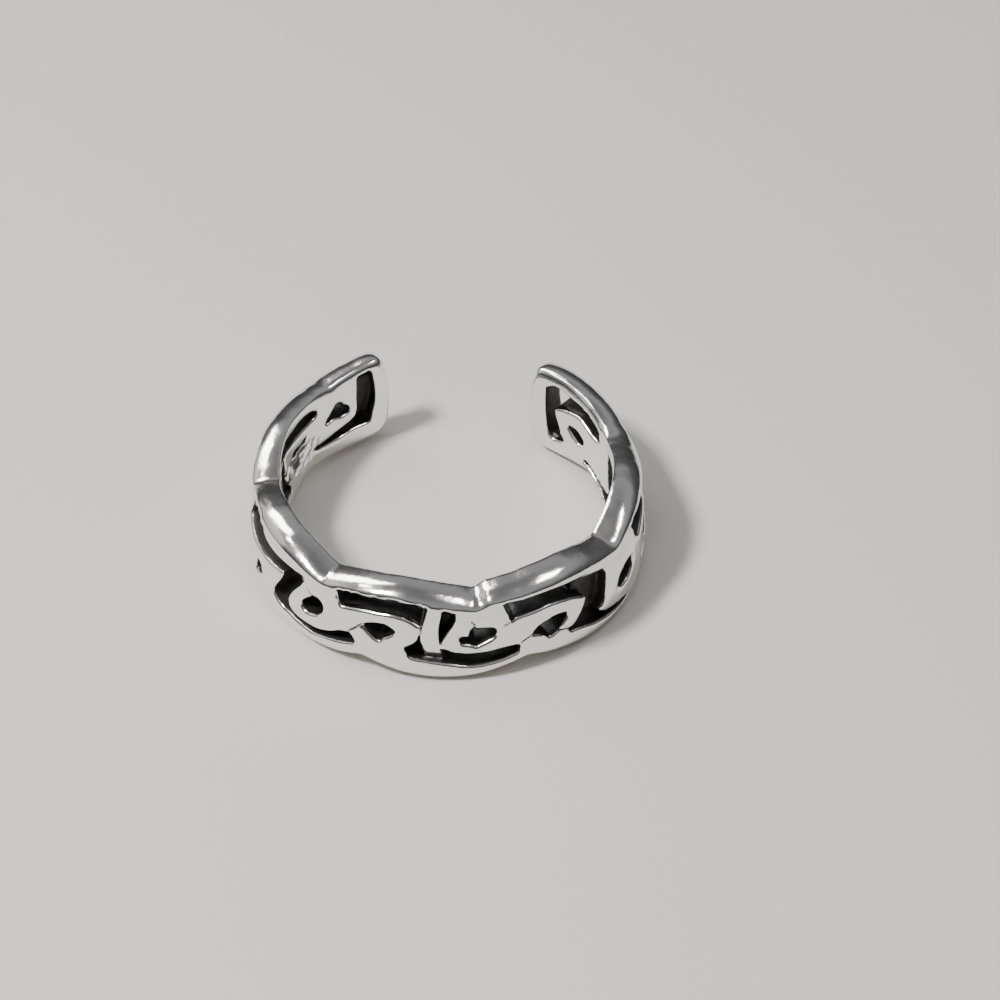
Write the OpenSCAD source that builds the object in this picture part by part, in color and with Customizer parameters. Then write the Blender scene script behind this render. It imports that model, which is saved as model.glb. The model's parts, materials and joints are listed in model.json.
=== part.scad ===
// Open toe ring, cast in one piece: a C-shaped band of Celtic knotwork, pierced
// right through, between two scalloped rails. It lies flat on its lower rail,
// with the bore upright round the Z axis and the gap between its ends at +Y.

/* [Band] */
// Diameter of the bore that the toe goes through
bore_d = 14.5; // [13:0.1:20]
// Thickness of the rails, from the bore to the outside
wall = 1.45; // [1:0.05:2]
// Height of the band, from crown to crown of its scalloped rails
band_h = 4.8; // [4:0.1:7]
// Angle of the gap between the two ends
gap_angle = 50; // [40:1:80]

/* [Rails] */
// Height of the upper rail at the crown of a scallop
upper_rail_h = 0.7; // [0.6:0.05:1]
// Height of the lower rail at the crown of a scallop
lower_rail_h = 0.95; // [0.6:0.05:1.1]
// Depth that the rails dip between two scallops
scallop = 0.6; // [0.2:0.05:0.8]
// Width of the plain strip that closes each end of the band
end_w = 0.85; // [0.6:0.05:1.1]
// Radius of the middle line round the corners of the ends
corner_r = 0.65; // [0.6:0.05:1]

/* [Knot] */
// Number of knots along the band
knots = 6; // [4:1:7]
// Depth of the knotwork's outer face under the outside of the rails
knot_sink = 0.1; // [0.05:0.01:0.2]

/* [Hidden] */

bore_r = bore_d / 2;
outer_r = bore_r + wall;
middle_r = bore_r + wall / 2;
knot_r = outer_r - knot_sink;
band_angle = 360 - gap_angle;

// The first dip of the upper rail, the last one and the far end of the band
// are spaced along it in shares of the pitch, as are the knots themselves.
first_dip_share = 0.52;
last_dip_share = 0.9;
pitch_angle = band_angle / (knots - 1 + first_dip_share + last_dip_share);
// The lower rail dips this share of a pitch further on than the upper one
shift_share = 0.28;

// Height of a rail at a dip, as a share of its height at a crown
dip_share = 0.6;
// Steps along one scallop
scallop_steps = 10;
// The rails and the wall start this deep inside the bore, which is then cut clean
rail_overlap = 0.2;
wall_overlap = 0.1;
bore_fn = 180;
cut_over = 1;
// The openings' cutters start this share of the way out to the bore
cut_in_share = 0.85;
// The wall between the rails starts this share of the way across the end strips
wall_in_share = 0.75;

// Section of the rails: half round outside, with its crest near the bore and a
// close edge there. Columns: share of half the height; share of half the depth.
RAIL_SECTION = [
    [-1, 0.6], [-0.8, 0.97], [-0.5, 1], [0, 0.92], [0.44, 0.72], [0.79, 0.4],
    [0.97, 0], [1, -0.4], [0.93, -0.66], [0.75, -0.8], [0.2, -1], [-1, -1]
];

// Outlines of the openings of one knot. Columns: distance along from the dip of
// the upper rail, in pitches; height, in band heights. The channel joins the
// two slots, which reach into the rails and overlap it.
UPPER_SLOT = [
    [0.12, 0.93], [0.14, 0.72], [0.17, 0.67], [0.27, 0.70], [0.38, 0.72], [0.48, 0.715], [0.58, 0.68],
    [0.68, 0.62], [0.74, 0.62], [0.77, 0.93]
];
CHANNEL = [
    [0.71, 0.93], [0.68, 0.72], [0.67, 0.62], [0.655, 0.51], [0.61, 0.43], [0.57, 0.38], [0.55, 0.30],
    [0.57, 0.10], [0.71, 0.10], [0.725, 0.33], [0.75, 0.39], [0.78, 0.48], [0.81, 0.59], [0.84, 0.82],
    [0.84, 0.93]
];
LOWER_SLOT = [
    [0.62, 0.10], [1.22, 0.10], [1.235, 0.31], [1.21, 0.38], [1.12, 0.355], [1.04, 0.33], [0.92, 0.32],
    [0.80, 0.33], [0.66, 0.40]
];
LEFT_EYE = [
    [-0.14, 0.45], [-0.11, 0.55], [-0.05, 0.62], [0.02, 0.625], [0.055, 0.58], [0.035, 0.50], [-0.02, 0.43],
    [-0.09, 0.41]
];
RIGHT_EYE = [
    [0.28, 0.49], [0.32, 0.55], [0.40, 0.58], [0.49, 0.58], [0.52, 0.53], [0.48, 0.45], [0.41, 0.37],
    [0.38, 0.38], [0.33, 0.44]
];
// Outline of the tie that stands in one channel and stiffens the band there
TIE = [
    [0.66, 0.32], [0.60, 0.48], [0.62, 0.60], [0.66, 0.70], [0.66, 0.90], [0.765, 0.90], [0.755, 0.72],
    [0.745, 0.57], [0.81, 0.44], [0.78, 0.37], [0.72, 0.29], [0.71, 0.14], [0.64, 0.14]
];
// The knot whose channel holds the tie, counted from 0
tie_knot = 2;

// Height of the scallops' arc over a dip: 0 at a dip and 1 at a crown
function arch(s) = 1 - pow(2 * (s - floor(s)) - 1, 2);
// Heights of the rails' sections, at a place in pitches after the first dip
function upper_h(s) = upper_rail_h * (dip_share + (1 - dip_share) * arch(s));
function lower_h(s) = lower_rail_h * (dip_share + (1 - dip_share) * arch(s - shift_share));
// Middles of the rails' sections, there
function upper_z(s) = band_h - scallop * (1 - arch(s)) - upper_h(s) / 2;
function lower_z(s) = scallop * (1 - arch(s - shift_share)) + lower_h(s) / 2;

// The two ends of the band, and a length at the middle of the wall, in pitches
near_end = -first_dip_share;
far_end = knots - 1 + last_dip_share;
pitch = pitch_angle * PI / 180 * middle_r;
function pitches(mm) = mm / pitch;

// Direction of a place along the band, with the band's middle at -Y
function heading(s) = (s - (near_end + far_end) / 2) * pitch_angle - 90;
// Point of the band at a place in pitches, a height and a radius
function on_band(s, z, r) = [r * cos(heading(s)), r * sin(heading(s)), z];

// Middle line of the frame, with half the height of its section, round a corner
// that starts at the angle from, as the half height changes from h1 to h2
function turn(s, z, from, h1, h2) = [
    for (q = [0 : 30 : 90])
        [s + pitches(corner_r) * cos(from - q), z + corner_r * sin(from - q), h1 + (h2 - h1) * q / 90]
];

// Middle line of the frame, with half the height of its section: along the upper
// rail, down the far end, back along the lower rail and up the near end
function frame_path() =
    let (
        inset = pitches(end_w / 2 + corner_r),
        near = near_end + inset,
        far = far_end - inset,
        side = end_w / 2,
        room = 0.25 / scallop_steps,
        steps = [for (i = [-scallop_steps : scallop_steps * (knots + 1)]) i / scallop_steps],
        back = [for (i = [len(steps) - 1 : -1 : 0]) steps[i] + shift_share]
    )
    concat(
        turn(near, upper_z(near) - corner_r, 180, side, upper_h(near) / 2),
        [for (s = steps) if (s > near + room && s < far - room) [s, upper_z(s), upper_h(s) / 2]],
        turn(far, upper_z(far) - corner_r, 90, upper_h(far) / 2, side),
        turn(far, lower_z(far) + corner_r, 0, side, lower_h(far) / 2),
        [for (s = back) if (s > near + room && s < far - room) [s, lower_z(s), lower_h(s) / 2]],
        turn(near, lower_z(near) + corner_r, 270, lower_h(near) / 2, side)
    );

// Unit vector across a closed path at point i, in mm, to the left of its direction
function across(path, i) =
    let (
        n = len(path),
        before = path[(i + n - 1) % n],
        after = path[(i + 1) % n],
        d = [(after.x - before.x) * pitch, after.y - before.y]
    )
    [-d.y, d.x] / norm(d);

// The two rails and the plain strips at the ends: one rounded bar, bent in a loop
module rail_frame() {
    path = frame_path();
    n = len(path);
    m = len(RAIL_SECTION);
    half_depth = (wall + rail_overlap) / 2;
    points = [
        for (i = [0 : n - 1])
            let (side = path[i].z * across(path, i))
            for (corner = RAIL_SECTION)
                on_band(
                    path[i].x + pitches(corner.x * side.x),
                    path[i].y + corner.x * side.y,
                    outer_r + (corner.y - 1) * half_depth
                )
    ];
    faces = [
        for (i = [0 : n - 1], j = [0 : m - 1])
            let (next = (i + 1) % n * m, k = (j + 1) % m)
            each [[i * m + j, i * m + k, next + k], [i * m + j, next + k, next + j]]
    ];
    polyhedron(points, faces);
}

// An outline of the knot whose dip is at s, as a straight prism through the
// band, square to its surface at the middle of the outline
module through_band(outline, s) {
    places = [for (p = outline) p.x];
    middle = s + (min(places) + max(places)) / 2;
    flat = [for (p = outline) [knot_r * sin((s + p.x - middle) * pitch_angle), p.y * band_h]];
    rotate([0, 0, heading(middle)])
        translate([cut_in_share * bore_r, 0, 0])
            rotate([90, 0, 90])
                linear_extrude(outer_r)
                    polygon(flat);
}

// The thin wall between the rails that the openings are cut from; its edges run
// along the middle lines of the rails
module plain_wall() {
    inset = pitches(wall_in_share * end_w);
    length = far_end - near_end - 2 * inset;
    count = ceil(length * scallop_steps);
    points = [
        for (i = [0 : count])
            let (s = near_end + inset + length * i / count, inner = bore_r - wall_overlap)
            each [
                on_band(s, lower_z(s), inner),
                on_band(s, lower_z(s), knot_r),
                on_band(s, upper_z(s), knot_r),
                on_band(s, upper_z(s), inner)
            ]
    ];
    sides = [
        for (i = [0 : count - 1], j = [0 : 3])
            let (a = 4 * i, k = (j + 1) % 4)
            each [[a + j, a + k, a + 4 + k], [a + j, a + 4 + k, a + 4 + j]]
    ];
    polyhedron(points, concat(sides, [[3, 2, 1, 0], [for (j = [0 : 3]) 4 * count + j]]));
}

module knotwork() {
    difference() {
        plain_wall();
        for (k = [0 : knots - 1]) {
            through_band(UPPER_SLOT, k);
            through_band(LEFT_EYE, k);
            through_band(RIGHT_EYE, k);
        }
        for (k = [-1 : knots - 1]) {
            through_band(CHANNEL, k);
            through_band(LOWER_SLOT, k);
        }
    }
    intersection() {
        plain_wall();
        through_band(TIE, tie_knot);
    }
}

module knot_band() {
    color("silver")
        difference() {
            union() {
                rail_frame();
                knotwork();
            }
            translate([0, 0, -cut_over]) cylinder(r = bore_r, h = band_h + 2 * cut_over, $fn = bore_fn);
        }
}

knot_band();
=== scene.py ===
"""The toe ring's looks: one fine cast mesh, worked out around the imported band.

The band is described unrolled, by its distance along the outside, its height and
its depth under the outside, in millimetres. A solid is made there from rounded
outlines and openings, meshed, and then bent round the bore.
"""
import json
import math

import bpy
import numpy as np
from mathutils import Matrix, Vector


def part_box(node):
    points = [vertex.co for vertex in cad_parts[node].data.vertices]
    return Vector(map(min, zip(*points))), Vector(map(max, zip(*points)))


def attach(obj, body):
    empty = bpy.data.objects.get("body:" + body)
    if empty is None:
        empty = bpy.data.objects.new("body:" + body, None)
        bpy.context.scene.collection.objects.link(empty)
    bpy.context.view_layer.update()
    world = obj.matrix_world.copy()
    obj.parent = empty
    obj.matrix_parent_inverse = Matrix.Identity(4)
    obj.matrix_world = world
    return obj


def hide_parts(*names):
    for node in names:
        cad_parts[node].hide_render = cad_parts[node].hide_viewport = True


MM = 0.001

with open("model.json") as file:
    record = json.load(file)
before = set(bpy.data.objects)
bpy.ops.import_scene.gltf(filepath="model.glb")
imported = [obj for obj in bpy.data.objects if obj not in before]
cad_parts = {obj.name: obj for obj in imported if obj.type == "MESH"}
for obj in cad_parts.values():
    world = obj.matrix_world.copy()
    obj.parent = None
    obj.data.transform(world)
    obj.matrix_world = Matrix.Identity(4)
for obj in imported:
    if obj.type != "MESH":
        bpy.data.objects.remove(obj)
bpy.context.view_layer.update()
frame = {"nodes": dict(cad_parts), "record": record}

# Sizes of the band, from the frame
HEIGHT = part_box("knot_band")[1].z / MM
OUTER_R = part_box("knot_band")[1].x / MM
BORE_R = frame["record"]["mounts"][0]["dims"]["r_mm"]
WALL = OUTER_R - BORE_R
GAP_HALF = min(
    abs(math.degrees(math.atan2(v.co.x, v.co.y)))
    for v in frame["nodes"]["knot_band"].data.vertices
)

# The knots along the band, as in the frame's source: shares of their pitch
KNOTS = 6
FIRST_DIP = 0.52
LAST_DIP = 0.90
LOWER_SHIFT = 0.28
NEAR_END = -FIRST_DIP
FAR_END = KNOTS - 1 + LAST_DIP
PITCH_ANGLE = (360 - 2 * GAP_HALF) / (FAR_END - NEAR_END)
PITCH = math.radians(PITCH_ANGLE) * OUTER_R

# Edges of the band, in mm: how deep they dip, the roundings of its corners, how far
# its ends bulge, and how much shorter each end is than in the frame
SCALLOP = 0.6
TOP_CORNER_R = 0.5
LOW_CORNER_R = 1.0
END_BULGE = 0.35
NEAR_SHORT = 0.3
FAR_SHORT = 0.15
# At middle height the ends stand out by this share of their bulge, and at the rails
# they stand back by the rest. The ends' own shape fades in so many pitches.
BULGE_SHARE = 0.6
BULGE_REACH = 0.25
# Points along an edge in one pitch, and round a corner or along an end
EDGE_STEPS = 48
CORNER_STEPS = 9

# Rails, in mm: heights at a crown, and depths of their rounding
UPPER_RAIL_H = 0.62
LOWER_RAIL_H = 0.80
UPPER_ROUND = 0.8
LOWER_ROUND = 0.7
# Heights of their rounding: as a share of the upper rail's, and in mm for the lower
RAIL_TALL = 0.8
LOWER_TALL = 0.5
# Height of a rail at a dip, as a share of its height at a crown
DIP_SHARE = 0.66
# Least height of a rail beside an opening
RAIL_LEAST = 0.38
# How far the upper rail's flank leans back at its edge, and the height of the flank
FLANK_LEAN = 0.22
FLANK_H = 0.9
# Between these shares of the height, the lower rail's looks pass into the upper's
LOWER_HALF = 0.35
UPPER_HALF = 0.65

# Knotwork, in mm: its depth under the upper rail, and where that step lies beside
# the rail's lower side
KNOT_SINK = 0.1
SINK_STEP = (-0.05, 0.06)
# Between these shares of the height, what pushes the knots out fades
PUSH_FADE = (0.55, 0.85)
# Roundings of the openings' edges, outside and in the bore
FACE_ROUND = 0.11
BORE_ROUND = 0.07
# Roundings of the band's edges in the bore, along the band and at its ends, with
# the places in pitches between which the one passes into the other
BORE_EDGE = 0.08
END_EDGE = 0.38
NEAR_SPAN = (0.0, 0.3)
FAR_SPAN = (KNOTS - 1.1, KNOTS - 0.9)
# Plain metal that is kept beyond the last opening, in pitches
END_STRIP = 0.15
# Width and depth of the grooves, and thickness of the webs
GROOVE_W = 0.05
GROOVE_DEEP = 0.13
WEB_THICK = 0.45
# How deep the foot of the tie lies, and the shares of the height where it rises
TIE_SUNK = 0.4
TIE_RISE = (0.12, 0.50)
# Depth of the pits, spread of their grain, and where the patch fades, in its own
# half widths
PIT_DEEP = 0.12
PIT_SPREAD = 2.5
PIT_FADE = (0.6, 1.1)

# Unevenness of the edges, the openings and the face: size in mm; number of waves
EDGE_WANDER = (0.03, 4)
OPENING_WANDER = (0.025, 5)
FACE_WANDER = (0.02, 6)
# The shortest waves, in radians a mm, and the range of their starts
WAVE_MOST = 4
WAVE_STARTS = 6.28
WANDER_SEED = 7
PIT_SEED = 11
# How often the edges, the openings and the pits' grain are blurred
EDGE_BLUR = 3
OPENING_BLUR = 1
PIT_BLUR = 2

# Steps of the grid that the solid is meshed on, in mm, the room round the band, and
# how far from an outline its distance is worked out
STEP_ALONG = 0.091
STEP_UP = 0.083
STEP_DEEP = 0.096
ROOM = 0.3
REACH = 0.8
# How often the mesh is pulled onto the solid's surface, by how much at most, in mm,
# and the least square of a slope that counts
PULLS = 3
PULL_MOST = 0.04
SLOPE_LEAST = 0.2
# A distance beyond any on the grid, and the least length that is divided by
FAR_OFF = 1e6
TINY = 1e-9

# Outlines of the openings, knot by knot from the near end. Columns: pitches on
# from the knot's dip in the upper rail; share of the band's height.
END_RIBBON = [
    (-0.24, 0.95), (-0.32, 0.96), (-0.36, 0.91), (-0.375, 0.77), (-0.38, 0.64), (-0.375, 0.52),
    (-0.355, 0.40), (-0.34, 0.30), (-0.29, 0.30), (-0.16, 0.295), (-0.07, 0.28), (0.04, 0.285),
    (0.20, 0.335), (0.225, 0.35), (0.15, 0.36), (0.035, 0.36), (-0.07, 0.38), (-0.165, 0.41),
    (-0.215, 0.45), (-0.235, 0.52), (-0.23, 0.67),
]
SPADE_EYE = [
    (-0.03, 0.78), (-0.08, 0.76), (-0.10, 0.71), (-0.14, 0.67), (-0.155, 0.62), (-0.145, 0.58),
    (-0.11, 0.58), (-0.075, 0.57), (-0.015, 0.60), (0.035, 0.595), (0.075, 0.575), (0.09, 0.595),
    (0.065, 0.645), (0.04, 0.68), (0.005, 0.725),
]
LONG_SLOT = [
    (0.18, 0.86), (0.15, 0.81), (0.20, 0.78), (0.27, 0.775), (0.375, 0.775), (0.47, 0.78), (0.58, 0.80),
    (0.66, 0.82), (0.72, 0.82), (0.80, 0.85), (0.84, 0.93), (0.755, 0.94), (0.68, 0.96), (0.60, 0.945),
    (0.485, 0.925), (0.385, 0.93), (0.30, 0.92), (0.23, 0.90),
]
SLIT_EYE = [
    (0.32, 0.665), (0.30, 0.63), (0.32, 0.60), (0.39, 0.59), (0.46, 0.595), (0.51, 0.60), (0.54, 0.645),
    (0.49, 0.67), (0.405, 0.65), (0.35, 0.66),
]
LOW_RIBBON = [
    (0.70, 0.80), (0.68, 0.60), (0.665, 0.49), (0.62, 0.39), (0.57, 0.32), (0.56, 0.25), (0.70, 0.21),
    (0.88, 0.19), (1.02, 0.20), (1.14, 0.22), (1.235, 0.26), (1.245, 0.31), (1.21, 0.35), (1.10, 0.33),
    (0.98, 0.32), (0.86, 0.34), (0.77, 0.38), (0.79, 0.47), (0.82, 0.58), (0.84, 0.70), (0.845, 0.80),
]
SIDE_EYE = [
    (-0.14, 0.45), (-0.11, 0.55), (-0.05, 0.62), (0.02, 0.625), (0.055, 0.58), (0.035, 0.50),
    (-0.02, 0.43), (-0.09, 0.41),
]
SIDE_LOW_EYE = [(0.36, 0.43), (0.40, 0.455), (0.43, 0.42), (0.44, 0.34), (0.385, 0.28), (0.33, 0.28)]
SIDE_RIBBON = [
    (0.25, 0.90), (0.34, 0.90), (0.37, 0.845), (0.415, 0.785), (0.49, 0.755), (0.58, 0.745),
    (0.67, 0.755), (0.76, 0.76), (0.83, 0.765), (0.865, 0.75), (0.85, 0.71), (0.82, 0.625),
    (0.75, 0.485), (0.72, 0.375), (0.725, 0.295), (0.765, 0.255), (0.825, 0.24), (0.90, 0.245),
    (0.98, 0.26), (1.06, 0.31), (1.14, 0.385), (1.20, 0.405), (1.225, 0.36), (1.24, 0.295),
    (1.14, 0.245), (1.04, 0.215), (0.925, 0.165), (0.825, 0.175), (0.74, 0.185), (0.66, 0.20),
    (0.605, 0.235), (0.56, 0.285), (0.59, 0.375), (0.635, 0.49), (0.675, 0.625), (0.62, 0.61),
    (0.545, 0.595), (0.46, 0.585), (0.375, 0.595), (0.28, 0.615), (0.18, 0.63), (0.12, 0.68),
    (0.13, 0.85),
]
LEFT_EYE = [
    (-0.165, 0.45), (-0.155, 0.485), (-0.11, 0.555), (-0.07, 0.615), (-0.04, 0.625), (-0.015, 0.62),
    (0.005, 0.59), (0.01, 0.545), (0.005, 0.485), (-0.03, 0.42), (-0.06, 0.405), (-0.11, 0.385),
    (-0.145, 0.40),
]
RIGHT_EYE = [
    (0.28, 0.555), (0.32, 0.59), (0.375, 0.615), (0.43, 0.62), (0.49, 0.565), (0.485, 0.54),
    (0.455, 0.50), (0.42, 0.465), (0.395, 0.41), (0.37, 0.42), (0.34, 0.46), (0.31, 0.50),
]
FRONT_RIBBON = [
    (0.11, 0.775), (0.105, 0.87), (0.12, 0.895), (0.16, 0.90), (0.22, 0.915), (0.285, 0.915),
    (0.36, 0.92), (0.43, 0.925), (0.53, 0.92), (0.61, 0.91), (0.685, 0.895), (0.77, 0.865),
    (0.84, 0.81), (0.845, 0.74), (0.825, 0.665), (0.80, 0.595), (0.775, 0.53), (0.755, 0.465),
    (0.725, 0.41), (0.775, 0.405), (0.83, 0.36), (0.925, 0.335), (1.02, 0.335), (1.095, 0.35),
    (1.165, 0.355), (1.225, 0.35), (1.235, 0.29), (1.225, 0.255), (1.185, 0.24), (1.145, 0.22),
    (1.07, 0.20), (1.0, 0.185), (0.915, 0.185), (0.83, 0.21), (0.74, 0.24), (0.645, 0.26),
    (0.57, 0.275), (0.545, 0.345), (0.545, 0.395), (0.57, 0.415), (0.60, 0.445), (0.625, 0.50),
    (0.635, 0.565), (0.635, 0.63), (0.61, 0.67), (0.565, 0.715), (0.515, 0.745), (0.455, 0.75),
    (0.375, 0.735), (0.28, 0.72), (0.19, 0.69), (0.145, 0.67), (0.13, 0.685),
]
WIDE_EYE = [
    (-0.135, 0.525), (-0.12, 0.55), (-0.085, 0.53), (-0.07, 0.55), (-0.07, 0.60), (-0.05, 0.625),
    (0.01, 0.62), (0.075, 0.60), (0.09, 0.545), (0.075, 0.50), (0.04, 0.475), (-0.01, 0.44),
    (-0.035, 0.415), (-0.06, 0.445), (-0.11, 0.455), (-0.13, 0.475),
]
LOW_EYE = [
    (0.31, 0.425), (0.335, 0.48), (0.38, 0.51), (0.435, 0.53), (0.495, 0.53), (0.55, 0.51),
    (0.555, 0.47), (0.51, 0.395), (0.49, 0.35), (0.46, 0.335), (0.42, 0.305), (0.375, 0.38),
]
WIDE_RIBBON = [
    (0.15, 0.76), (0.165, 0.715), (0.17, 0.645), (0.185, 0.62), (0.20, 0.67), (0.26, 0.68),
    (0.325, 0.685), (0.405, 0.69), (0.49, 0.68), (0.585, 0.645), (0.695, 0.57), (0.685, 0.51),
    (0.66, 0.435), (0.625, 0.365), (0.60, 0.315), (0.565, 0.295), (0.56, 0.265), (0.565, 0.245),
    (0.625, 0.235), (0.71, 0.20), (0.80, 0.165), (0.90, 0.135), (1.0, 0.125), (1.09, 0.125),
    (1.12, 0.16), (1.02, 0.18), (0.925, 0.20), (0.835, 0.24), (0.78, 0.305), (0.795, 0.32),
    (0.825, 0.36), (0.85, 0.43), (0.865, 0.54), (0.875, 0.655), (0.845, 0.74), (0.815, 0.745),
    (0.725, 0.785), (0.645, 0.815), (0.565, 0.83), (0.505, 0.845), (0.41, 0.87), (0.315, 0.87),
    (0.24, 0.865), (0.14, 0.875), (0.13, 0.84),
]
RIBBON = [
    (0.12, 0.87), (0.14, 0.72), (0.17, 0.67), (0.27, 0.71), (0.38, 0.725), (0.48, 0.72), (0.58, 0.68),
    (0.68, 0.605), (0.665, 0.51), (0.62, 0.41), (0.57, 0.32), (0.56, 0.24), (0.70, 0.21), (0.88, 0.19),
    (1.02, 0.20), (1.14, 0.22), (1.235, 0.26), (1.245, 0.31), (1.21, 0.35), (1.10, 0.33), (0.98, 0.32),
    (0.86, 0.34), (0.77, 0.38), (0.79, 0.47), (0.82, 0.58), (0.84, 0.72), (0.845, 0.84), (0.70, 0.87),
    (0.52, 0.88), (0.32, 0.90), (0.20, 0.91), (0.14, 0.91),
]
FAR_EYE = [
    (0.55, 0.50), (0.53, 0.535), (0.485, 0.55), (0.425, 0.55), (0.38, 0.52), (0.34, 0.48), (0.36, 0.43),
    (0.40, 0.39), (0.445, 0.42), (0.495, 0.45), (0.53, 0.49),
]
FAR_RIBBON = [
    (0.76, 0.84), (0.68, 0.91), (0.585, 0.915), (0.525, 0.89), (0.47, 0.885), (0.39, 0.885),
    (0.30, 0.88), (0.235, 0.855), (0.165, 0.835), (0.13, 0.805), (0.125, 0.72), (0.16, 0.675),
    (0.25, 0.67), (0.31, 0.70), (0.385, 0.735), (0.44, 0.735), (0.52, 0.715), (0.595, 0.685),
    (0.675, 0.635), (0.665, 0.55), (0.635, 0.46), (0.605, 0.36), (0.565, 0.295), (0.66, 0.245),
    (0.72, 0.27), (0.74, 0.335), (0.755, 0.52), (0.77, 0.69),
]

# Outline of the tie that stands in the front channel, as above
TIE = [
    (0.68, 1.0), (0.679, 0.90), (0.673, 0.82), (0.655, 0.70), (0.638, 0.61), (0.63, 0.52),
    (0.645, 0.43), (0.655, 0.31), (0.65, 0.12), (0.79, 0.12), (0.775, 0.29), (0.763, 0.39),
    (0.748, 0.50), (0.747, 0.62), (0.759, 0.76), (0.771, 0.85), (0.775, 1.0),
]

# Thin webs of metal left inside the openings, as above
END_WEB = [(-0.42, 0.33), (-0.42, 0.82), (-0.22, 0.82), (-0.22, 0.33)]
TIE_WEB = [
    (0.60, 0.20), (0.60, 0.62), (0.68, 0.66), (0.78, 0.70), (0.86, 0.66), (0.84, 0.45),
    (0.80, 0.20),
]
CHANNEL_WEB = [(0.62, 0.30), (0.63, 0.70), (0.75, 0.74), (0.92, 0.72), (0.92, 0.30)]
SIDE_WEB = [(0.55, 0.15), (0.55, 0.80), (1.05, 0.80), (1.28, 0.42), (1.28, 0.15)]
# Columns: knot; outline; depth of the web under the band's outer face, in mm
WEBS = [
    (0, END_WEB, 0.30), (0, SIDE_WEB, 0.55), (2, TIE_WEB, 0.75), (3, CHANNEL_WEB, 0.60),
    (4, SIDE_WEB, 0.55),
]

# The pitted patch inside the near arm. Columns: middle and half width, of the
# distance in pitches and of the height in band heights.
PITTED = [(0.55, 0.42), (0.42, 0.17)]

# Thin grooves where one strand passes under another, as above
SIDE_GROOVES = [[(0.19, 0.42), (0.28, 0.52)]]
FRONT_GROOVES = [[(0.195, 0.425), (0.23, 0.475), (0.28, 0.555)], [(-0.11, 0.66), (-0.08, 0.615)]]
TIE_GROOVE = [[(0.64, 0.63), (0.637, 0.565), (0.628, 0.50)]]
WIDE_GROOVES = [
    [(0.31, 0.425), (0.24, 0.37)],
    [(0.49, 0.34), (0.57, 0.295)],
    [(0.13, 0.605), (0.165, 0.625)],
    [(-0.065, 0.715), (-0.04, 0.67), (-0.055, 0.625)],
]
FAR_GROOVES = [[(0.19, 0.40), (0.24, 0.42), (0.275, 0.45)]]

# Each knot's looks. Columns: its openings; its grooves; pitches that they stand
# further on; share of the height that they stand further up.
KNOT_LOOKS = [
    ([SPADE_EYE, SLIT_EYE, LONG_SLOT, LOW_RIBBON], SIDE_GROOVES, -0.01, -0.05),
    ([SIDE_EYE, SIDE_LOW_EYE, SIDE_RIBBON], [], 0.0, 0.0),
    ([LEFT_EYE, RIGHT_EYE, FRONT_RIBBON], FRONT_GROOVES + TIE_GROOVE, 0.0, 0.0),
    ([WIDE_EYE, LOW_EYE, WIDE_RIBBON], WIDE_GROOVES, 0.0, 0.0),
    ([SIDE_EYE, RIGHT_EYE, RIBBON], FAR_GROOVES, 0.10, -0.06),
    ([FAR_EYE, FAR_RIBBON], FAR_GROOVES, -0.01, 0.0),
]
# The knot whose channel holds the tie, counted from 0
TIE_KNOT = 2

# How unevenly the band is cast. Columns: pitches along; outside pushed in, bore
# side pushed out, upper edge raised, lower edge raised and knots pushed out, in mm.
UNEVEN = [
    (-0.52, 0.0, 0.10, 0.12, 0.30, 0.0),
    (-0.25, 0.0, 0.10, 0.14, 0.30, 0.0),
    (-0.12, 0.0, 0.10, 0.21, 0.30, 0.0),
    (0.0, 0.02, 0.10, 0.36, 0.29, 0.0),
    (0.12, 0.05, 0.10, 0.17, 0.28, 0.0),
    (0.3, 0.04, 0.10, 0.03, 0.27, 0.0),
    (0.6, 0.04, 0.10, 0.0, 0.25, 0.0),
    (0.95, 0.02, 0.05, 0.0, 0.15, 0.08),
    (1.3, 0.0, 0.0, 0.0, 0.0, 0.25),
    (1.7, 0.0, 0.0, 0.0, 0.0, 0.05),
    (2.97, 0.0, 0.0, 0.0, 0.0, 0.0),
    (3.03, 0.0, 0.0, 0.32, 0.0, 0.0),
    (3.25, 0.0, 0.0, 0.08, 0.0, 0.0),
    (3.6, 0.0, 0.0, 0.0, 0.0, 0.0),
    (3.8, 0.0, 0.0, -0.10, 0.0, 0.1),
    (3.95, 0.0, 0.0, -0.14, 0.0, 0.15),
    (4.05, 0.0, 0.0, -0.10, 0.0, 0.2),
    (4.3, 0.03, 0.0, 0.0, 0.0, 0.22),
    (4.8, 0.08, 0.02, 0.0, 0.05, 0.05),
    (4.88, 0.08, 0.02, 0.02, 0.08, 0.0),
    (5.0, 0.10, 0.03, 0.20, 0.10, 0.0),
    (5.12, 0.10, 0.05, 0.02, 0.15, 0.0),
    (5.5, 0.05, 0.05, 0.08, 0.22, 0.0),
    (5.9, 0.0, 0.05, 0.36, 0.25, 0.0),
]
# Its columns after the first
PUSHED_IN, BORE_OUT, UPPER_UP, LOWER_UP, KNOTS_OUT = range(1, 6)


def smooth(value, low, high):
    """0 below low and 1 above high, with a soft step between."""
    t = np.clip((value - low) / (high - low), 0, 1)
    return t * t * (3 - 2 * t)


def uneven(s, column):
    """A column of UNEVEN at places along the band."""
    table = np.array(UNEVEN)
    return np.interp(s, table[:, 0], table[:, column])


def arch(s):
    """The scallops' arc over a dip: 0 at a dip and 1 at a crown."""
    return 1 - (2 * (s - np.floor(s)) - 1) ** 2


def upper_half(z):
    """0 along the lower rail and 1 along the upper one, with a soft step between."""
    return smooth(z, LOWER_HALF * HEIGHT, UPPER_HALF * HEIGHT)


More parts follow.
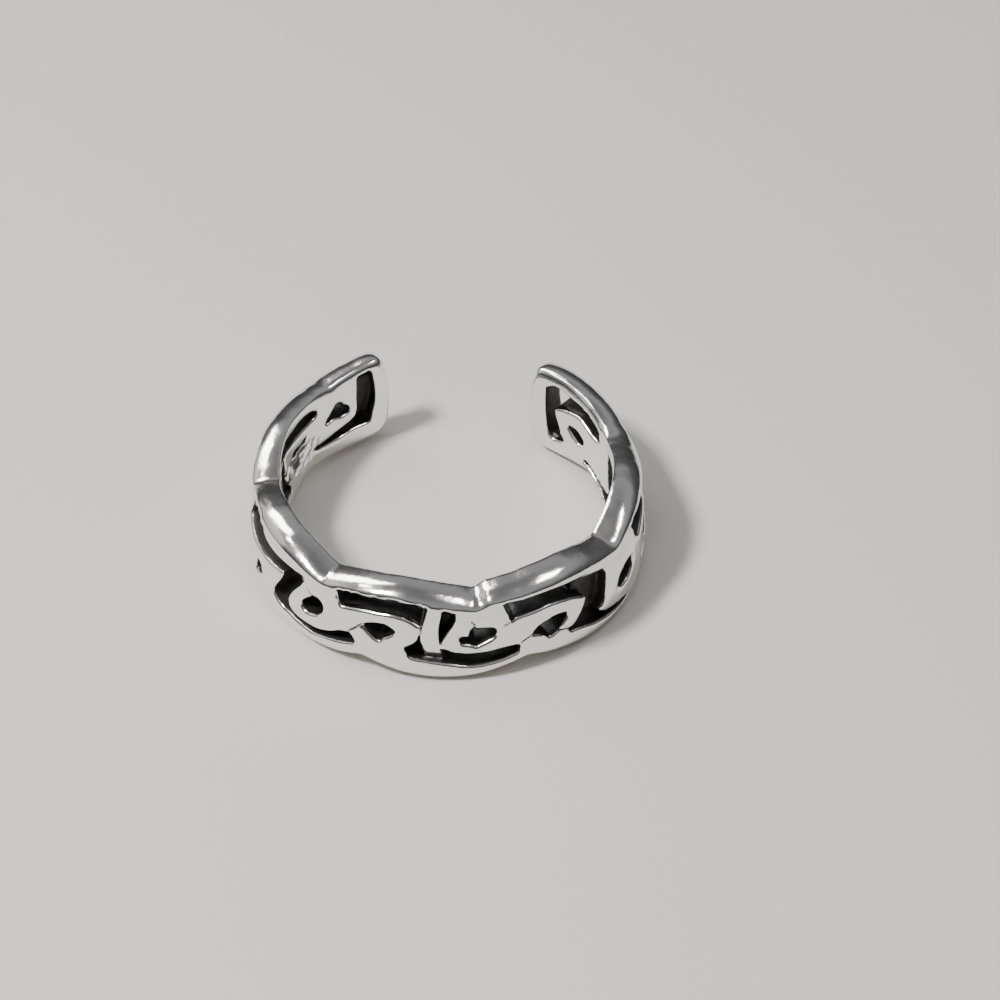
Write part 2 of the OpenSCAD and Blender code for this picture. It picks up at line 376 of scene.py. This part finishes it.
def upper_edge(s):
    return HEIGHT - SCALLOP * (1 - arch(s)) + uneven(s, UPPER_UP)


def lower_edge(s):
    return SCALLOP * (1 - arch(s - LOWER_SHIFT)) + uneven(s, LOWER_UP)


def rail_height(s, z):
    """Height of the rail that is nearest to a place."""
    upper = UPPER_RAIL_H * (DIP_SHARE + (1 - DIP_SHARE) * arch(s))
    lower = LOWER_RAIL_H * (DIP_SHARE + (1 - DIP_SHARE) * arch(s - LOWER_SHIFT))
    return lower + (upper - lower) * upper_half(z)


def corner(s, z, r, start):
    """Points round one corner of the band's outline, turning clockwise."""
    turns = np.radians(start - np.linspace(0, 90, CORNER_STEPS))
    return [(s + r * math.cos(t) / PITCH, z + r * math.sin(t)) for t in turns]


def end_side(s, z0, z1):
    """Points along the plain side of an end."""
    return [(s, z) for z in np.linspace(z0, z1, CORNER_STEPS)[1:-1]]


def band_outline():
    """The unrolled band's outline in mm, with its scalloped edges and round ends."""
    top, low = TOP_CORNER_R / PITCH, LOW_CORNER_R / PITCH
    near_top, far_top = NEAR_END + top, FAR_END - top
    near_low, far_low = NEAR_END + low, FAR_END - low
    steps = np.arange(-EDGE_STEPS, (KNOTS + 1) * EDGE_STEPS) / EDGE_STEPS
    upper = [(s, upper_edge(s)) for s in steps if near_top < s < far_top]
    lower = [(s, lower_edge(s)) for s in steps + LOWER_SHIFT if near_low < s < far_low]
    near_z = lower_edge(near_low) + LOW_CORNER_R, upper_edge(near_top) - TOP_CORNER_R
    far_z = lower_edge(far_low) + LOW_CORNER_R, upper_edge(far_top) - TOP_CORNER_R
    points = corner(near_top, near_z[1], TOP_CORNER_R, 180) + upper
    points += corner(far_top, far_z[1], TOP_CORNER_R, 90)
    points += end_side(FAR_END, far_z[1], far_z[0])
    points += corner(far_low, far_z[0], LOW_CORNER_R, 0) + lower[::-1]
    points += corner(near_low, near_z[0], LOW_CORNER_R, 270)
    points += end_side(NEAR_END, near_z[0], near_z[1])
    rounded_ends = []
    for s, z in points:
        bulge = END_BULGE * (BULGE_SHARE - (2 * z / HEIGHT - 1) ** 2)
        at_near = np.interp(s, [NEAR_END, NEAR_END + BULGE_REACH], [1, 0])
        at_far = np.interp(s, [FAR_END - BULGE_REACH, FAR_END], [0, 1])
        ends_in = (NEAR_SHORT - bulge) * at_near + (bulge - FAR_SHORT) * at_far
        rounded_ends.append((s * PITCH + ends_in, z))
    return rounded_ends


def to_line(x, z, a, b):
    """Distance of grid points from the line between two points."""
    ex, ez = b[0] - a[0], b[1] - a[1]
    t = np.clip(((x - a[0]) * ex + (z - a[1]) * ez) / (ex * ex + ez * ez), 0, 1)
    return np.hypot(x - a[0] - t * ex, z - a[1] - t * ez)


def to_outline(x, z, outline):
    """Distance of grid points from a closed outline, negative inside."""
    distance = np.full(x.shape, FAR_OFF)
    inside = np.zeros(x.shape, bool)
    for a, b in zip(outline, outline[1:] + outline[:1]):
        distance = np.minimum(distance, to_line(x, z, a, b))
        if a[1] != b[1]:
            crossed = (a[1] > z) != (b[1] > z)
            inside ^= crossed & (x < a[0] + (z - a[1]) * (b[0] - a[0]) / (b[1] - a[1]))
    return np.where(inside, -distance, distance)


def shifted(axis, dims, apart):
    """Slices for a grid without its last rows along an axis, and without its first."""
    low, high = [slice(None)] * dims, [slice(None)] * dims
    low[axis], high[axis] = slice(0, -apart), slice(apart, None)
    return tuple(low), tuple(high)


def soften(field, passes):
    """A blurred copy of a field on the flat grid, which rounds its corners."""
    for _ in range(passes):
        for axis in (0, 1):
            pad = [(1, 1) if i == axis else (0, 0) for i in (0, 1)]
            wide = np.pad(field, pad, mode="edge")
            low, high = shifted(axis, 2, 2)
            field = 0.25 * wide[low] + 0.5 * field + 0.25 * wide[high]
    return field


def rounded(a, b, r):
    """Depth inside the corner between two faces that are a and b deep, rounded by r."""
    return r - np.hypot(np.maximum(r - a, 0), np.maximum(r - b, 0))


def placed(points, knot, on=0, up=0):
    """Points of a knot in mm, which stand on and up by shares of pitch and height."""
    return [((knot + on + s) * PITCH, (z + up) * HEIGHT) for s, z in points]


class Band:
    """The unrolled band as fields on a grid. What is inside the metal is above 0."""

    def __init__(self):
        self.origin = np.array([NEAR_END * PITCH - ROOM, -ROOM, -ROOM])
        top = np.array([FAR_END * PITCH + ROOM, HEIGHT + ROOM, WALL + ROOM])
        self.steps = np.array([STEP_ALONG, STEP_UP, STEP_DEEP])
        counts = np.ceil((top - self.origin) / self.steps).astype(int) + 1
        axes = [self.origin[i] + self.steps[i] * np.arange(counts[i]) for i in range(3)]
        self.x, self.z = np.meshgrid(axes[0], axes[1], indexing="ij")
        self.deep = axes[2][None, None, :]
        self.s = self.x / PITCH
        self.edge = -to_outline(self.x, self.z, band_outline())
        self.openings = np.full(self.x.shape, REACH)
        self.grooves = np.full(self.x.shape, REACH)
        self.edge = soften(self.edge + self.wander(*EDGE_WANDER), EDGE_BLUR)
        self.draw_knots()
        self.openings = soften(self.openings + self.wander(*OPENING_WANDER), OPENING_BLUR)
        self.openings = np.maximum(self.openings, RAIL_LEAST - self.edge)
        tie = -to_outline(self.x, self.z, placed(TIE, TIE_KNOT))
        self.tie = soften(tie, OPENING_BLUR)
        self.pits = self.pitted()
        self.make_solid()

    def wander(self, size, waves):
        """Small smooth unevenness, the same each time."""
        rng = np.random.default_rng(WANDER_SEED)
        total = np.zeros(self.x.shape)
        for _ in range(waves):
            kx, kz = rng.uniform(-WAVE_MOST, WAVE_MOST, 2)
            total += np.sin(kx * self.x + kz * self.z + rng.uniform(0, WAVE_STARTS))
        return size * total / waves

    def pitted(self):
        """Depth of the pits in the rough patch inside the near arm."""
        grain = np.random.default_rng(PIT_SEED).normal(size=self.x.shape)
        grain = soften(grain, PIT_BLUR)
        (along, half_along), (up, half_up) = PITTED
        away = np.hypot((self.s - along) / half_along, (self.z / HEIGHT - up) / half_up)
        pits = np.clip(0.5 + grain / (PIT_SPREAD * grain.std()), 0, 1)
        return PIT_DEEP * pits * (1 - smooth(away, *PIT_FADE))

    def near(self, points):
        """The part of the grid within reach of some points."""
        xs, zs = zip(*points)
        i0 = max(int((min(xs) - REACH - self.origin[0]) / STEP_ALONG), 0)
        i1 = int((max(xs) + REACH - self.origin[0]) / STEP_ALONG) + 2
        j0 = max(int((min(zs) - REACH - self.origin[1]) / STEP_UP), 0)
        j1 = int((max(zs) + REACH - self.origin[1]) / STEP_UP) + 2
        return slice(i0, i1), slice(j0, j1)

    def open_up(self, outline):
        """Adds an opening."""
        part = self.near(outline)
        distance = to_outline(self.x[part], self.z[part], outline)
        self.openings[part] = np.minimum(self.openings[part], distance)

    def engrave(self, points):
        """Adds a groove."""
        part = self.near(points)
        for a, b in zip(points, points[1:]):
            distance = to_line(self.x[part], self.z[part], a, b)
            self.grooves[part] = np.minimum(self.grooves[part], distance)

    def draw_knots(self):
        """Adds the openings and grooves of all knots; the last knot stops short."""
        limit = (FAR_END - END_STRIP) * PITCH
        self.open_up(placed(END_RIBBON, 0))
        for knot, (outlines, grooves, on, up) in enumerate(KNOT_LOOKS):
            for outline in outlines:
                self.open_up([(min(x, limit), z) for x, z in placed(outline, knot, on, up)])
            for line in grooves:
                self.engrave(placed(line, knot, on, up))

    def make_solid(self):
        """Fills in the metal: the band's body with its openings, the tie and the webs."""
        upper = upper_half(self.z)
        share_up = self.z / HEIGHT
        rail_h = rail_height(self.s, self.z)
        deep_r = LOWER_ROUND + (UPPER_ROUND - LOWER_ROUND) * upper
        tall_r = LOWER_TALL + (RAIL_TALL * rail_h - LOWER_TALL) * upper
        sink = KNOT_SINK * upper * smooth(self.edge - rail_h, *SINK_STEP)
        groove = GROOVE_DEEP * np.exp(-((self.grooves / GROOVE_W) ** 2))
        out = uneven(self.s, KNOTS_OUT) * (1 - smooth(share_up, *PUSH_FADE))
        lean = FLANK_LEAN * upper * np.clip(1 - self.edge / FLANK_H, 0, 1)
        self.face = uneven(self.s, PUSHED_IN) - out + sink + lean + groove
        self.face += self.wander(*FACE_WANDER)
        self.back = WALL - uneven(self.s, BORE_OUT) - self.pits
        deep_out = self.deep - self.face[..., None]
        deep_in = self.back[..., None] - self.deep
        outside = rounded((self.edge * deep_r / tall_r)[..., None], deep_out, deep_r[..., None])
        at_ends = 1 - smooth(self.s, *NEAR_SPAN) + smooth(self.s, *FAR_SPAN)
        edge_r = BORE_EDGE + (END_EDGE - BORE_EDGE) * at_ends
        bore_side = rounded(self.edge[..., None], deep_in, edge_r[..., None])
        body = np.minimum(outside, bore_side)
        self.sunk = TIE_SUNK * (1 - smooth(share_up, *TIE_RISE))
        knotwork = self.strands(self.openings, deep_out, deep_in)
        tie = self.strands(self.tie, deep_out - self.sunk[..., None], deep_in)
        inside = np.maximum(knotwork, tie)
        for knot, outline, deep in WEBS:
            web = -to_outline(self.x, self.z, placed(outline, knot))
            slab = np.minimum(deep_out - deep, deep + WEB_THICK - deep_out)
            inside = np.maximum(inside, np.minimum(web[..., None], slab))
        self.solid = np.minimum(body, inside)

    def strands(self, flat, deep_out, deep_in):
        """Metal through the wall where a flat field is above 0, with rounded edges."""
        flat = flat[..., None]
        return np.minimum(rounded(flat, deep_out, FACE_ROUND), rounded(flat, deep_in, BORE_ROUND))


def sample(field, place):
    """A field's values at places given in grid steps, by linear blending."""
    place = place[:, : field.ndim]
    low = np.clip(np.floor(place).astype(int), 0, np.array(field.shape) - 2)
    part = place - low
    total = np.zeros(len(place))
    for shift in np.ndindex(*(2,) * field.ndim):
        weight = np.prod(np.where(np.array(shift) == 1, part, 1 - part), axis=1)
        total += weight * field[tuple((low + shift).T)]
    return total


def net(solid):
    """Surface net of a field's zero: corners in grid steps, and four-sided faces."""
    inside = solid > 0
    shape = np.array(solid.shape) - 1
    total = np.zeros(tuple(shape) + (3,))
    count = np.zeros(tuple(shape), int)
    for axis in range(3):
        a, b = shifted(axis, 3, 1)
        crossed = inside[a] != inside[b]
        share = np.where(crossed, solid[a] / np.where(crossed, solid[a] - solid[b], 1), 0)
        u, v = [i for i in range(3) if i != axis]
        for du, dv in ((0, 0), (0, 1), (1, 0), (1, 1)):
            pick = [slice(None)] * 3
            pick[u] = slice(du, du + shape[u])
            pick[v] = slice(dv, dv + shape[v])
            hit = crossed[tuple(pick)]
            offset = np.zeros(hit.shape + (3,))
            offset[..., axis] = share[tuple(pick)]
            offset[..., u] = du
            offset[..., v] = dv
            total += np.where(hit[..., None], offset, 0)
            count += hit
    used = count > 0
    number = np.full(tuple(shape), -1)
    number[used] = np.arange(used.sum())
    corners = np.argwhere(used) + total[used] / count[used][:, None]
    faces = []
    for axis in range(3):
        a, b = shifted(axis, 3, 1)
        turned = inside[a].astype(int) - inside[b].astype(int)
        u, v = [i for i in range(3) if i != axis]
        places = np.argwhere(turned != 0)
        places = places[(places[:, u] > 0) & (places[:, v] > 0)]
        way = turned[tuple(places.T)]
        # Round this axis the other two follow one another the other way
        if axis == 1:
            way = -way
        ring = []
        for du, dv in ((-1, -1), (0, -1), (0, 0), (-1, 0)):
            cell = places.copy()
            cell[:, u] += du
            cell[:, v] += dv
            ring.append(number[tuple(cell.T)])
        ring = np.array(ring).T
        faces.append(np.where(way[:, None] < 0, ring, ring[:, ::-1]))
    return corners, np.concatenate(faces)


def headings(x):
    """Directions on the ring, in radians, of distances along the band in mm."""
    middle = (NEAR_END + FAR_END) / 2
    return np.radians((x / PITCH - middle) * PITCH_ANGLE - 90)


def bend(places):
    """Unrolled places, in mm, on the ring: their points in metres."""
    x, z, deep = places.T
    turn = headings(x)
    r = OUTER_R - deep
    return np.stack([r * np.cos(turn), r * np.sin(turn), z], 1) * MM


def ring_normals(places, slopes):
    """Normals of the bent mesh, from the unrolled field's slopes."""
    turn = headings(places[:, 0])
    r = OUTER_R - places[:, 2]
    along, up, out = -slopes[:, 0] * OUTER_R / r, -slopes[:, 1], slopes[:, 2]
    across = out * np.cos(turn) - along * np.sin(turn)
    away = out * np.sin(turn) + along * np.cos(turn)
    return unit(np.stack([across, away, up], 1))


def unit(vectors):
    """Vectors brought to a length of 1."""
    return vectors / np.maximum(np.linalg.norm(vectors, axis=1, keepdims=True), TINY)


def even_out(normals, faces):
    """Normals averaged once with those of their neighbours."""
    total = np.zeros_like(normals)
    for corner_of_face in faces.T:
        np.add.at(total, corner_of_face, normals[faces].sum(1))
    return unit(total)


# Where the silver is blackened. Each pair is where a step starts and where it ends.
# Heights are shares of the band's, and places along it are in pitches.
# The next four say where walls that face up are left bright, as painted light from above: high up, on
# the far arm and along the front
HIGH_UP = (0.5, 0.58)
FAR_ARM = (KNOTS - 1, KNOTS - 0.8)
FRONT_STARTS = (1.95, 2.1)
FRONT_STOPS = (2.7, 2.9)
# Depths that are kept bright, in mm: everywhere as worn rims, and more where a wall faces up, as
# painted light on the walls that catch the light from above
WORN_AND_LIT = (0.03, 0.26)
WORN_AND_LIT_IN_BORE = (0.02, 0.30)
# Steps in mm from bright to black under the worn rims and the painted light, and back to bright beside
# an opening's wall
BLACK_STEP = 0.1
BLACK_STEP_IN_BORE = 0.08
WALL_STEP = (0.0, 0.08)
# The tie's face, in mm: how far inside its outline, how clear of the knots and how deep
TIE_STEP = (0.02, 0.10)
CLEAR_OF_KNOTS = (-0.05, 0.05)
TIE_FACE = (0.08, 0.2)
# The foot of the tie: how black, and the share of its depth where that starts
FOOT_BLACK = 0.8
FOOT_STARTS = 0.45
# Grooves: how black, over how many times their width, and how deep, in mm
GROOVE_BLACK = 0.9
GROOVE_SPREAD = 1.4
GROOVE_REACH = 0.3
# Pits: how black, between which depths of a pit, and how near the bore, in mm
PIT_BLACK = 0.65
PIT_STEP = (0.03, 0.7 * PIT_DEEP)
PIT_REACH = 0.25


def blackening(band, corners, places):
    """How black each point is, in the openings, the grooves and the foot of the tie."""
    s = places[:, 0] / PITCH
    deep_out = places[:, 2] - sample(band.face, corners)
    deep_in = sample(band.back, corners) - places[:, 2]
    opening = sample(band.openings, corners)
    faces_up = np.clip(-sample(np.gradient(band.openings, STEP_UP, axis=1), corners), 0, 1)
    high_up = smooth(places[:, 1] / HEIGHT, *HIGH_UP)
    front = smooth(s, *FRONT_STARTS) * (1 - smooth(s, *FRONT_STOPS))
    # Painted light: walls that face up, high on the front and in the far arm's bore, stay bright silver
    # where light falls on them; the rest of the bright depth is worn rims
    worn_and_lit = WORN_AND_LIT[0] + WORN_AND_LIT[1] * faces_up * high_up * front
    worn_and_lit_in = WORN_AND_LIT_IN_BORE[0] + WORN_AND_LIT_IN_BORE[1] * faces_up * smooth(s, *FAR_ARM)
    recess = smooth(deep_out, worn_and_lit, worn_and_lit + BLACK_STEP)
    recess *= smooth(deep_in, worn_and_lit_in, worn_and_lit_in + BLACK_STEP_IN_BORE)
    recess *= 1 - smooth(opening, *WALL_STEP)
    sunk = sample(band.sunk, corners)
    on_tie = smooth(sample(band.tie, corners), *TIE_STEP)
    on_tie *= 1 - smooth(opening, *CLEAR_OF_KNOTS)
    tie_face = on_tie * (1 - smooth(deep_out - sunk, *TIE_FACE))
    foot = FOOT_BLACK * smooth(sunk, FOOT_STARTS * TIE_SUNK, TIE_SUNK)
    recess = recess * (1 - tie_face) + foot * tie_face
    groove = np.exp(-((sample(band.grooves, corners) / (GROOVE_SPREAD * GROOVE_W)) ** 2))
    groove *= GROOVE_BLACK * (deep_out < GROOVE_REACH)
    pits = PIT_BLACK * smooth(sample(band.pits, corners), *PIT_STEP) * (deep_in < PIT_REACH)
    return np.maximum(np.maximum(recess, groove), pits)


def build_band():
    """The cast band as one mesh, with how black each point is."""
    band = Band()
    corners, faces = net(band.solid)
    slopes = np.gradient(band.solid, *band.steps)
    for _ in range(PULLS):
        value = sample(band.solid, corners)
        slope = np.stack([sample(g, corners) for g in slopes], 1)
        pull = value / np.maximum((slope**2).sum(1), SLOPE_LEAST)
        corners = corners - np.clip(slope * pull[:, None], -PULL_MOST, PULL_MOST) / band.steps
    places = band.origin + corners * band.steps
    mesh = bpy.data.meshes.new("silver_band")
    mesh.from_pydata(bend(places).tolist(), [], faces.tolist())
    mesh.polygons.foreach_set("use_smooth", np.ones(len(faces), bool))
    normals = even_out(ring_normals(places, slope), faces)
    mesh.normals_split_custom_set_from_vertices(normals.tolist())
    oxide = mesh.attributes.new("oxide", "FLOAT", "POINT")
    oxide.data.foreach_set("value", blackening(band, corners, places).astype(np.float32))
    piece = bpy.data.objects.new("silver_band", mesh)
    bpy.context.scene.collection.objects.link(piece)
    return piece


# Colours and roughness of the polished silver, of its black and of the floor
SILVER_COLOR = (0.90, 0.88, 0.84, 1)
SILVER_ROUGH = (0.10, 0.20)
BLACK_COLOR = (0.012, 0.010, 0.009, 1)
BLACK_ROUGH = (0.35, 0.6)
BLACK_METALLIC = 0.2
FLOOR_COLOR = (0.66, 0.64, 0.60, 1)
FLOOR_ROUGH = 0.75
# Noise. Columns: scale, in waves a metre; detail.
SILVER_ROUGH_NOISE = (900, 3)
WAVE_NOISE = (650, 1)
FINE_NOISE = (3500, 4)
BLACK_ROUGH_NOISE = (1500, 3)
GRAIN_NOISE = (5000, 5)
EDGE_NOISE = (2200, 3)
# Bumps. Columns: strength; height in metres.
WAVE_BUMP = (0.5, 0.00006)
FINE_BUMP = (0.3, 0.00002)
GRAIN_BUMP = (0.6, 0.00005)
# Share of its noise that is added to the black, and the sums between which black
# comes in
EDGE_SHARE = 0.5
EDGE_STARTS = 0.55
EDGE_ENDS = 0.95


def new_material(name):
    """An empty material, with its nodes and links."""
    material = bpy.data.materials.new(name)
    material.use_nodes = True
    nodes = material.node_tree.nodes
    nodes.clear()
    return material, nodes, material.node_tree.links


def noise(nodes, links, coords, scale, detail):
    """Procedural noise between 0 and 1."""
    node = nodes.new("ShaderNodeTexNoise")
    node.inputs["Scale"].default_value = scale
    node.inputs["Detail"].default_value = detail
    links.new(coords, node.inputs["Vector"])
    return node.outputs["Fac"]


def spread(nodes, links, value, low, high, start=0.3, end=0.7):
    """A value between start and end, spread from low to high."""
    node = nodes.new("ShaderNodeMapRange")
    node.inputs["From Min"].default_value = start
    node.inputs["From Max"].default_value = end
    node.inputs["To Min"].default_value = low
    node.inputs["To Max"].default_value = high
    links.new(value, node.inputs["Value"])
    return node.outputs["Result"]


def bump(nodes, links, height, strength, distance):
    """Normals of a surface that a height makes uneven."""
    node = nodes.new("ShaderNodeBump")
    node.inputs["Strength"].default_value = strength
    node.inputs["Distance"].default_value = distance
    links.new(height, node.inputs["Height"])
    return node.outputs["Normal"]


def silver_material():
    """Polished cast silver, blackened where its oxide attribute says."""
    material, nodes, links = new_material("silver")
    coords = nodes.new("ShaderNodeTexCoord").outputs["Object"]
    polished = nodes.new("ShaderNodeBsdfPrincipled")
    polished.inputs["Base Color"].default_value = SILVER_COLOR
    polished.inputs["Metallic"].default_value = 1.0
    cloudy = noise(nodes, links, coords, *SILVER_ROUGH_NOISE)
    links.new(spread(nodes, links, cloudy, *SILVER_ROUGH), polished.inputs["Roughness"])
    waves = bump(nodes, links, noise(nodes, links, coords, *WAVE_NOISE), *WAVE_BUMP)
    fine = bump(nodes, links, noise(nodes, links, coords, *FINE_NOISE), *FINE_BUMP)
    links.new(waves, fine.node.inputs["Normal"])
    links.new(fine, polished.inputs["Normal"])
    black = nodes.new("ShaderNodeBsdfPrincipled")
    black.inputs["Base Color"].default_value = BLACK_COLOR
    black.inputs["Metallic"].default_value = BLACK_METALLIC
    matt = noise(nodes, links, coords, *BLACK_ROUGH_NOISE)
    links.new(spread(nodes, links, matt, *BLACK_ROUGH), black.inputs["Roughness"])
    grain = noise(nodes, links, coords, *GRAIN_NOISE)
    links.new(bump(nodes, links, grain, *GRAIN_BUMP), black.inputs["Normal"])
    oxide = nodes.new("ShaderNodeAttribute")
    oxide.attribute_name = "oxide"
    uneven_edge = nodes.new("ShaderNodeMath")
    uneven_edge.operation = "MULTIPLY_ADD"
    uneven_edge.inputs[1].default_value = EDGE_SHARE
    links.new(noise(nodes, links, coords, *EDGE_NOISE), uneven_edge.inputs[0])
    links.new(oxide.outputs["Fac"], uneven_edge.inputs[2])
    blackness = spread(nodes, links, uneven_edge.outputs[0], 0, 1, EDGE_STARTS, EDGE_ENDS)
    mix = nodes.new("ShaderNodeMixShader")
    links.new(blackness, mix.inputs["Fac"])
    links.new(polished.outputs[0], mix.inputs[1])
    links.new(black.outputs[0], mix.inputs[2])
    out = nodes.new("ShaderNodeOutputMaterial")
    links.new(mix.outputs[0], out.inputs["Surface"])
    return material


def floor_material():
    """A plain pale matt floor."""
    material, nodes, links = new_material("pale_floor")
    shader = nodes.new("ShaderNodeBsdfPrincipled")
    shader.inputs["Base Color"].default_value = FLOOR_COLOR
    shader.inputs["Roughness"].default_value = FLOOR_ROUGH
    out = nodes.new("ShaderNodeOutputMaterial")
    links.new(shader.outputs[0], out.inputs["Surface"])
    return material


# From the middle of the floor to its edges, in metres
FLOOR_HALF = 0.6


def build_floor():
    """The floor under the ring, which is staged."""
    mesh = bpy.data.meshes.new("floor")
    corners = [(x * FLOOR_HALF, y * FLOOR_HALF, 0) for x, y in ((-1, -1), (1, -1), (1, 1), (-1, 1))]
    mesh.from_pydata(corners, [], [(0, 1, 2, 3)])
    mesh.materials.append(floor_material())
    floor = bpy.data.objects.new("floor", mesh)
    bpy.context.scene.collection.objects.link(floor)


# Brightness of the sky. Columns: height as a sine; shade.
SKY = [(0.05, 0.03), (0.42, 0.10), (0.64, 0.30), (0.82, 0.26), (0.97, 0.16)]
# How much bluer than grey it is
SKY_BLUE = 1.06
# Distance of the soft lights, in metres
LIGHT_AWAY = 0.26
# The soft lights. Columns: name; direction round the ring and height, in degrees;
# width and height, in metres; watts; whether it lights; whether it is mirrored.
LIGHTS = [
    ("lamp", -148, 57, (0.04, 0.04), 0.85, True, True),
    ("window", 138, 44, (0.09, 0.14), 0.42, False, True),
    ("left_card", 173, 55, (0.03, 0.03), 0.05, False, True),
    ("left_wall", 162, 24, (0.22, 0.14), 0.055, False, True),
    ("right_card", 2, 63, (0.08, 0.028), 0.15, False, True),
    ("overhead", 0, 90, (0.30, 0.30), 0.32, True, False),
]


def sky_color(shade):
    """The sky's colour at a shade."""
    return shade, shade, SKY_BLUE * shade, 1


def soft_light(name, azimuth, height, size, power, lit, mirrored):
    """A soft light, which lights, or is mirrored, or both."""
    data = bpy.data.lights.new(name, "AREA")
    data.shape = "RECTANGLE"
    data.size, data.size_y = size
    data.energy = power
    turn, up = math.radians(azimuth), math.radians(height)
    away = Vector((math.cos(up) * math.cos(turn), math.cos(up) * math.sin(turn), math.sin(up)))
    light = bpy.data.objects.new(name, data)
    light.location = LIGHT_AWAY * away
    light.rotation_euler = away.to_track_quat("Z", "Y").to_euler()
    light.visible_diffuse = lit
    light.visible_glossy = mirrored
    bpy.context.scene.collection.objects.link(light)


def light_scene():
    """A pale sky, which is darker near the horizon, and the soft lights."""
    world = bpy.data.worlds.new("studio")
    world.use_nodes = True
    nodes, links = world.node_tree.nodes, world.node_tree.links
    coords = nodes.new("ShaderNodeTexCoord")
    split = nodes.new("ShaderNodeSeparateXYZ")
    links.new(coords.outputs["Generated"], split.inputs[0])
    ramp = nodes.new("ShaderNodeValToRGB")
    for element, (place, shade) in zip(ramp.color_ramp.elements, SKY[:2]):
        element.position, element.color = place, sky_color(shade)
    for place, shade in SKY[2:]:
        ramp.color_ramp.elements.new(place).color = sky_color(shade)
    links.new(split.outputs["Z"], ramp.inputs["Fac"])
    links.new(ramp.outputs["Color"], nodes["Background"].inputs["Color"])
    nodes["Background"].inputs["Strength"].default_value = 1.0
    bpy.context.scene.world = world
    for light in LIGHTS:
        soft_light(*light)


# The camera that took the photograph. In degrees: how far it looks down, is rolled and
# is turned round the ring. In mm: its distance from the middle of the ring's foot, and
# how far that middle lies right of and above the middle of the image.
CAMERA_TILT = 43.0
CAMERA_ROLL = 0.5
CAMERA_TURN = 4.0
CAMERA_AWAY = 130.0
CAMERA_ASIDE = (-2.343, -1.84)
# Share of the image's width that a mm of the ring takes
IMAGE_SCALE = 0.02233
SENSOR_MM = 36
# Nearest and farthest that it sees, in metres
CLIP_RANGE = (0.005, 10)


def place_camera():
    """The camera at the photograph's angle."""
    tilt, roll = math.radians(CAMERA_TILT), math.radians(CAMERA_ROLL)
    ahead = Vector((0, math.cos(tilt), -math.sin(tilt)))
    right = Vector((1, 0, 0))
    up = right.cross(ahead)
    roll_by = Matrix.Rotation(roll, 3, -ahead)
    right, up = roll_by @ right, roll_by @ up
    centre = -CAMERA_ASIDE[0] * right - CAMERA_ASIDE[1] * up - CAMERA_AWAY * ahead
    data = bpy.data.cameras.new("camera")
    data.sensor_width = SENSOR_MM
    data.lens = IMAGE_SCALE * CAMERA_AWAY * SENSOR_MM
    data.clip_start, data.clip_end = CLIP_RANGE
    camera = bpy.data.objects.new("camera", data)
    axes = Matrix((right, up, -ahead)).transposed().to_4x4()
    turn = Matrix.Rotation(math.radians(CAMERA_TURN), 4, "Z")
    camera.matrix_world = turn @ Matrix.Translation(centre * MM) @ axes
    bpy.context.scene.collection.objects.link(camera)
    bpy.context.scene.camera = camera


band_piece = build_band()
band_piece.data.materials.append(silver_material())
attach(band_piece, "root")
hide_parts("knot_band")
build_floor()
light_scene()
place_camera()
